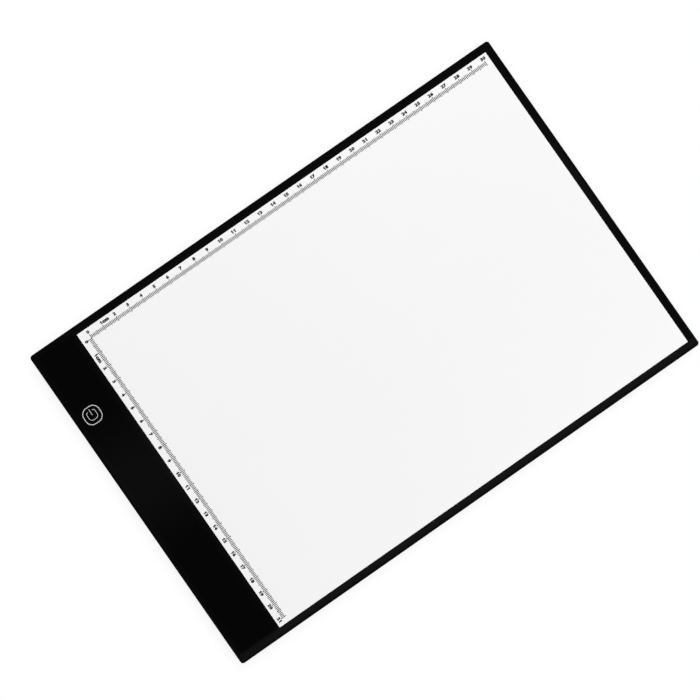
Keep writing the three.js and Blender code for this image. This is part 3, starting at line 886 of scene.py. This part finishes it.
def fill_marks(shape, sizes, count, corners):
    """Adds a ruler's marks, each between the two corners for its distance and half length."""
    for millimetre in range(10 * count + 1):
        low, high = corners(millimetre * MM, mark_length(sizes, millimetre) / 2)
        slab(shape, (*low, TOP - sizes.ink_height), (*high, TOP + sizes.ink_height))


def fill_numerals(shape, sizes, count, spot, turn):
    """Adds a ruler's numerals, and its unit after the numeral 1."""
    lettering = Lettering(sizes)
    for number in range(count + 1):
        place = (*spot(number * 10 * MM), TOP - sizes.ink_height)
        placement = Matrix.Translation(place) @ Matrix.Rotation(turn, 4, "Z")
        lettering.add_number(shape, number, placement)
        if number == 1:
            lettering.add_unit(shape, "cm", placement)


class LIGHTPAD_OT_paint_housing(bpy.types.Operator):
    """Gives the cover, panel, print, panel tape and feet their finishes"""

    bl_idname = "lightpad.paint_housing"
    bl_label = "Paint Housing"

    def execute(self, context):
        paint(["back_cover"], moulded_cover())
        paint(["front_panel"], milky_panel())
        paint(["border_print"], glossy_print())
        paint(["panel_tape"], tape("panel_tape", settings().colors.clear_tape, roughness=0.5))
        paint(["foot_1", "foot_2", "foot_3", "foot_4"], foot_rubber())
        return {"FINISHED"}


class LIGHTPAD_OT_paint_light_unit(bpy.types.Operator):
    """Gives the sheets, light guide and LED strip their finishes"""

    bl_idname = "lightpad.paint_light_unit"
    bl_label = "Paint Light Unit"

    def execute(self, context):
        colors = settings().colors
        mask = colors.led_board
        board = circuit_board("led_board", mask, times(mask, 0.88), axes="YZ", pitch=1.0 * MM)
        paint(["reflector_sheet"], film("reflector_film", colors.film, roughness=0.22))
        paint(["diffuser_sheet"], film("diffuser_film", colors.film, roughness=0.5))
        paint(["light_guide_plate"], dotted_guide())
        paint(["led_tape_lower", "led_tape_upper"], tape("led_tape", colors.clear_tape, roughness=0.5))
        paint(["led_cover_tape"], tape("cover_tape", colors.black_tape, roughness=0.6))
        paint(["led_board"], board)
        paint(LED_NODES, led_case())
        return {"FINISHED"}


class LIGHTPAD_OT_paint_electronics(bpy.types.Operator):
    """Gives the control board, its parts, the socket and the leads their finishes"""

    bl_idname = "lightpad.paint_electronics"
    bl_label = "Paint Electronics"

    def execute(self, context):
        colors = settings().colors
        mask = colors.control_board
        board = circuit_board("control_board", mask, colors.copper, axes="XY", pitch=0.9 * MM)
        screw_steel = plated_metal("screw_steel", colors.steel, roughness=0.22, line_scale=2500.0)
        socket_steel = plated_metal("socket_steel", colors.steel, roughness=0.2, line_scale=3800.0)
        paint(["control_board"], board)
        paint(["touch_chip", "led_transistor"], legged_chip())
        paint(["filter_capacitor"], capped_chip("filter_capacitor", colors.ceramic, "X"))
        paint(["chip_resistor", "base_resistor"], capped_chip("chip_resistor", colors.epoxy, "Y"))
        paint(["touch_foam"], open_foam())
        paint(["board_screw_1", "board_screw_2"], screw_steel)
        paint(["usb_socket"], socket_steel)
        paint(["usb_tongue"], printed_ink("tongue_plastic", colors.epoxy, roughness=0.4))
        paint(["lead_red"], insulation("red_insulation", colors.red_wire))
        paint(["lead_black"], insulation("black_insulation", colors.black_wire))
        return {"FINISHED"}


class LIGHTPAD_OT_smooth_frame(bpy.types.Operator):
    """Smooths the shading of the frame's rounded edges"""

    bl_idname = "lightpad.smooth_frame"
    bl_label = "Smooth Frame"

    def execute(self, context):
        moulded = smooth_by_angle("smooth_moulded", sharp_angle=math.radians(32))
        round_wire = smooth_by_angle("smooth_round_wire", sharp_angle=math.radians(50))
        for name, node in frame["nodes"].items():
            modifier = node.modifiers.new("smooth_by_angle", "NODES")
            modifier.node_group = round_wire if name in LEAD_NODES else moulded
        return {"FINISHED"}


class LIGHTPAD_OT_print_rulers(bpy.types.Operator):
    """Prints both rulers on the panel, their marks and their numerals"""

    bl_idname = "lightpad.print_rulers"
    bl_label = "Print Rulers"

    def execute(self, context):
        sizes = settings().rulers
        ink = printed_ink("ruler_ink", settings().colors.ruler, roughness=0.42)
        half_width = sizes.line_width / 2
        long_zero = COVER_LOW.x + sizes.long_zero
        long_line = COVER_HIGH.y - sizes.long_line
        short_zero = COVER_HIGH.y - sizes.short_zero
        short_line = COVER_LOW.x + sizes.short_line

        # The mark at each ruler's zero reaches the other ruler's.
        def long_mark(distance, half):
            x = long_zero + distance
            low = short_zero - half_width if distance == 0 else long_line - half
            return (x - half_width, low), (x + half_width, long_line + half)

        def short_mark(distance, half):
            y = short_zero - distance
            reach = half + sizes.short_extra
            high = long_zero - half_width if distance == 0 else short_line + reach
            return (short_line - reach, y - half_width), (high, y + half_width)

        def long_numeral(distance):
            return long_zero + distance, COVER_HIGH.y - sizes.long_text

        def short_numeral(distance):
            return COVER_LOW.x + sizes.short_text, short_zero - distance

        pieces = (
            ("long_ruler_marks", fill_marks, sizes.long_count, long_mark),
            ("short_ruler_marks", fill_marks, sizes.short_count, short_mark),
            ("long_ruler_numerals", fill_numerals, sizes.long_count, long_numeral, 0.0),
            ("short_ruler_numerals", fill_numerals, sizes.short_count, short_numeral, -math.pi / 2),
        )
        for name, fill, *values in pieces:
            new_piece(name, ink, "ruler_ink", fill, sizes, *values)
        return {"FINISHED"}


class LIGHTPAD_OT_print_key(bpy.types.Operator):
    """Prints the power key on the wide band"""

    bl_idname = "lightpad.print_key"
    bl_label = "Print Power Key"

    def execute(self, context):
        sizes = settings().key
        ink = printed_ink("key_ink", settings().colors.key, roughness=0.4)
        middle = Vector((COVER_LOW.x + sizes.from_end, COVER_HIGH.y - sizes.from_side))
        heights = (TOP - sizes.ink_height, TOP + sizes.ink_height)

        def spot(x, y):
            return middle + Vector((x, y))

        def ring(shape):
            half = sizes.ring_half
            line = rounded_outline(middle, half, half, sizes.ring_corner, steps=12)
            ribbon(shape, line, [sizes.ring_line] * len(line), *heights, closed=True)

        def sign(shape):
            gap = sizes.sign_gap
            top = sizes.sign_top
            curl = sizes.sign_curl
            corner = sizes.sign_corner
            upper = sizes.sign_half - curl
            lower = sizes.sign_half - corner
            line = [spot(-gap, top)]
            line += arc(spot(-upper, top - curl), curl, 90, 180)
            line += arc(spot(-lower, -lower), corner, 180, 270)
            line += arc(spot(lower, -lower), corner, 270, 360)
            line += arc(spot(upper, top - curl), curl, 0, 90)
            line += [spot(gap, top)]
            round_ended(shape, line, sizes.sign_line, *heights)

        def bar(shape):
            line = [spot(0.0, sizes.bar_bottom), spot(0.0, sizes.bar_top)]
            round_ended(shape, line, sizes.sign_line, *heights)

        new_piece("key_ring", ink, "key_ink", ring)
        new_piece("key_sign", ink, "key_ink", sign)
        new_piece("key_bar", ink, "key_ink", bar)
        return {"FINISHED"}


class LIGHTPAD_OT_fit_contacts(bpy.types.Operator):
    """Adds the plated contacts under the socket's tongue"""

    bl_idname = "lightpad.fit_contacts"
    bl_label = "Fit Socket Contacts"

    def execute(self, context):
        sizes = settings().inner
        low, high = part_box("usb_tongue")
        middle = (low + high) / 2
        start = low.x + sizes.contact_inset + sizes.contact_width / 2
        heights = (middle.z - sizes.contact_height, middle.z + sizes.contact_height)

        def contacts(shape):
            for order in range(sizes.contact_count):
                y = middle.y + (order - (sizes.contact_count - 1) / 2) * sizes.contact_pitch
                line = [Vector((start, y)), Vector((start + sizes.contact_length, y))]
                round_ended(shape, line, sizes.contact_width, *heights)

        gold = plated_metal("contact_gold", settings().colors.gold, roughness=0.18, line_scale=6000.0)
        new_piece("socket_contacts", gold, "bright_steel", contacts)
        return {"FINISHED"}


class LIGHTPAD_OT_fill_leds(bpy.types.Operator):
    """Fills each LED's window with phosphor"""

    bl_idname = "lightpad.fill_leds"
    bl_label = "Fill LED Windows"

    def execute(self, context):
        sizes = settings().inner
        crown_shares = ((0.0, 1.0), (0.55, 1.0), (0.75, 0.93), (0.85, 0.75))
        corner_share = 0.35

        def windows(shape):
            for name in LED_NODES:
                low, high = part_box(name)
                middle = (low + high) / 2
                back = high.x - sizes.window_depth
                rings = []
                for up, wide in crown_shares:
                    half_y = sizes.window_length / 2 * wide
                    half_z = sizes.window_height / 2 * wide
                    corner = min(half_y, half_z) * corner_share
                    outline = rounded_outline(middle.yz, half_y, half_z, corner, steps=3)
                    rings.append([(back + sizes.window_depth * up, y, z) for y, z in outline])
                loft(shape, rings)

        new_piece("led_phosphor", phosphor(), "led_housing", windows)
        return {"FINISHED"}


class LIGHTPAD_OT_solder_leads(bpy.types.Operator):
    """Solders both leads to the control board and to the LED board"""

    bl_idname = "lightpad.solder_leads"
    bl_label = "Solder Leads"

    def execute(self, context):
        sizes = settings().inner
        profile_shares = ((0.0, 1.0), (0.18, 0.93), (0.45, 0.74), (0.72, 0.52), (0.9, 0.3), (0.98, 0.12))
        sides = 16
        board_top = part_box("control_board")[1].z
        led_board_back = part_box("led_board")[0].x

        def dome(shape, foot, axis, aside):
            over = axis.cross(aside)
            turns = [2 * math.pi * side / sides for side in range(sides)]
            directions = [aside * math.cos(turn) + over * math.sin(turn) for turn in turns]
            rings = []
            for up, wide in profile_shares:
                centre = foot + axis * (sizes.solder_height * up)
                rings.append([centre + direction * (sizes.solder_radius * wide) for direction in directions])
            loft(shape, rings)

        def joints(shape):
            for name in LEAD_NODES:
                low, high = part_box(name)
                radius = (high.z - low.z) / 2
                start = Vector((low.x + radius, high.y, board_top))
                end = Vector((led_board_back, low.y + radius, low.z + radius))
                dome(shape, start, Vector((0, 0, 1)), Vector((1, 0, 0)))
                dome(shape, end, Vector((-1, 0, 0)), Vector((0, 1, 0)))

        new_piece("lead_solder", solder(), "bright_steel", joints)
        return {"FINISHED"}


class LIGHTPAD_OT_build_stage(bpy.types.Operator):
    """Sets up the floor, camera, lamps and world"""

    bl_idname = "lightpad.build_stage"
    bl_label = "Build Stage"

    def execute(self, context):
        sizes = settings().stage
        middle = (0.0, 0.0, 0.0)
        card_y = -0.835
        over = (0.0, card_y, 1.0)
        under = (0.0, card_y, 0.0)
        card_shape = {"shape": "RECTANGLE", "size": 2.4, "size_y": 1.2}
        add_floor(sizes)
        add_camera(sizes)
        add_sun("key_sun", sizes.key_strength, azimuth=40)
        add_sun("fill_sun", sizes.fill_strength, azimuth=215)
        add_lamp("front_box", "AREA", sizes.front_power, place=(0.3, -0.5, 0.3), aim=middle, size=0.25)
        add_lamp("rear_box", "AREA", sizes.rear_power, place=(0.3, 0.7, 0.3), aim=middle, size=0.25)
        card = add_lamp("far_card", "AREA", sizes.card_power, place=over, aim=under, **card_shape)
        card.visible_glossy = True
        set_world(sizes)
        context.scene.view_settings.view_transform = "Standard"
        return {"FINISHED"}


def add_floor(sizes):
    """A wide floor that is white to the camera and still takes the pad's shadow."""
    reach = 4.0
    material = bpy.data.materials.new("pale_floor")
    material.use_nodes = True
    nodes = Nodes(material.node_tree)
    seen = nodes.ray("Camera").larger(nodes.ray("Glossy")).larger(nodes.ray("Transmission"))
    matt = nodes.node("ShaderNodeBsdfDiffuse", {}, {"Color": sizes.floor})
    white = {"Color": (1.0, 1.0, 1.0), "Strength": seen * sizes.floor_glow}
    glow = nodes.node("ShaderNodeEmission", {}, white)
    both = nodes.node("ShaderNodeAddShader", {}, {"Shader": matt, "Shader_001": glow})
    nodes.node("ShaderNodeOutputMaterial", {}, {"Surface": both})

    def square(shape):
        corners = ((-reach, -reach, 0), (reach, -reach, 0), (reach, reach, 0), (-reach, reach, 0))
        shape.faces.new([shape.verts.new(corner) for corner in corners])

    floor = mesh_object("floor", material, square)


def add_camera(sizes):
    """A camera over the pad, turned as the photograph was taken."""
    data = bpy.data.cameras.new("camera")
    data.lens = sizes.lens
    data.clip_start = 0.01
    camera = new_object("camera", data)
    back = -Vector(sizes.camera_view).normalized()
    compass = Vector((math.sin(sizes.camera_turn), math.cos(sizes.camera_turn), 0.0))
    up = (compass - back * compass.dot(back)).normalized()
    aside = up.cross(back)
    turned = Matrix((aside, up, back)).transposed().to_4x4()
    camera.matrix_world = Matrix.Translation(sizes.camera_place) @ turned
    bpy.context.scene.camera = camera


def add_lamp(name, kind, energy, place, aim, **options):
    """A lamp at a place, shining towards a point, that neither the camera nor gloss shows."""
    lamp = new_object(name, bpy.data.lights.new(name, kind))
    lamp.data.energy = energy
    for option, value in options.items():
        setattr(lamp.data, option, value)
    lamp.location = place
    lamp.rotation_mode = "QUATERNION"
    lamp.rotation_quaternion = (Vector(aim) - Vector(place)).to_track_quat("-Z", "Y")
    lamp.visible_camera = False
    lamp.visible_glossy = False
    return lamp


def add_sun(name, strength, azimuth):
    """A wide soft sun, half-way up the sky, from a compass direction in degrees from +X towards +Y."""
    distance = 2.0
    elevation = math.radians(45)
    around = math.radians(azimuth)
    level = Vector((math.cos(around), math.sin(around), 0.0))
    towards = level * math.cos(elevation) + Vector((0.0, 0.0, math.sin(elevation)))
    add_lamp(name, "SUN", strength, towards * distance, (0.0, 0.0, 0.0), angle=math.radians(36))


def set_world(sizes):
    """White to the camera and through glass, even on matt surfaces, and in gloss dark overhead.

    In gloss the sky grows white towards the horizon, and a dim band crosses it overhead.
    """
    overhead = 0.012
    horizon_power = 4.0
    band_glow = 0.055
    band_place = 0.021
    band_half = 0.068
    world = bpy.data.worlds.new("studio")
    world.use_nodes = True
    sky = Nodes(world.node_tree)
    direction = sky.node("ShaderNodeTexCoord", {}, {}, "Generated")
    up = sky.along("Z", direction).clamped()
    nearness = (1.0 - abs(sky.along("Y", direction) - band_place) / band_half).clamped()
    band = nearness * nearness * (3.0 - 2.0 * nearness)
    white = sky.ray("Camera").larger(sky.ray("Transmission"))
    glossy = sky.ray("Glossy")
    mirrored = overhead + band_glow * band + (1.0 - up) ** horizon_power
    unseen = glossy * mirrored + (1.0 - glossy) * sizes.ambient
    strength = white + (1.0 - white) * unseen
    light = sky.node("ShaderNodeBackground", {}, {"Color": (1.0, 1.0, 1.0), "Strength": strength})
    sky.node("ShaderNodeOutputWorld", {}, {"Surface": light})
    bpy.context.scene.world = world


OPERATORS = (
    LIGHTPAD_OT_paint_housing,
    LIGHTPAD_OT_paint_light_unit,
    LIGHTPAD_OT_paint_electronics,
    LIGHTPAD_OT_smooth_frame,
    LIGHTPAD_OT_print_rulers,
    LIGHTPAD_OT_print_key,
    LIGHTPAD_OT_fit_contacts,
    LIGHTPAD_OT_fill_leds,
    LIGHTPAD_OT_solder_leads,
    LIGHTPAD_OT_build_stage,
)


class LIGHTPAD_PT_steps(bpy.types.Panel):
    """The steps that dress the light pad"""

    bl_idname = "LIGHTPAD_PT_steps"
    bl_label = "Light Pad"
    bl_space_type = "VIEW_3D"
    bl_region_type = "UI"
    bl_category = "Light Pad"

    def draw(self, context):
        for operator in OPERATORS:
            self.layout.operator(operator.bl_idname)


CLASSES = (
    RulerSizes,
    KeySizes,
    InnerSizes,
    FinishColors,
    StageSizes,
    LightPadSettings,
    *OPERATORS,
    LIGHTPAD_PT_steps,
)


def register():
    for each in CLASSES:
        bpy.utils.register_class(each)
    bpy.types.Scene.light_pad = PointerProperty(type=LightPadSettings)


def unregister():
    del bpy.types.Scene.light_pad
    for each in reversed(CLASSES):
        bpy.utils.unregister_class(each)


def main():
    register()
    bpy.ops.lightpad.paint_housing()
    bpy.ops.lightpad.paint_light_unit()
    bpy.ops.lightpad.paint_electronics()
    bpy.ops.lightpad.smooth_frame()
    bpy.ops.lightpad.print_rulers()
    bpy.ops.lightpad.print_key()
    bpy.ops.lightpad.fit_contacts()
    bpy.ops.lightpad.fill_leds()
    bpy.ops.lightpad.solder_leads()
    bpy.ops.lightpad.build_stage()


if __name__ == "__main__":
    main()
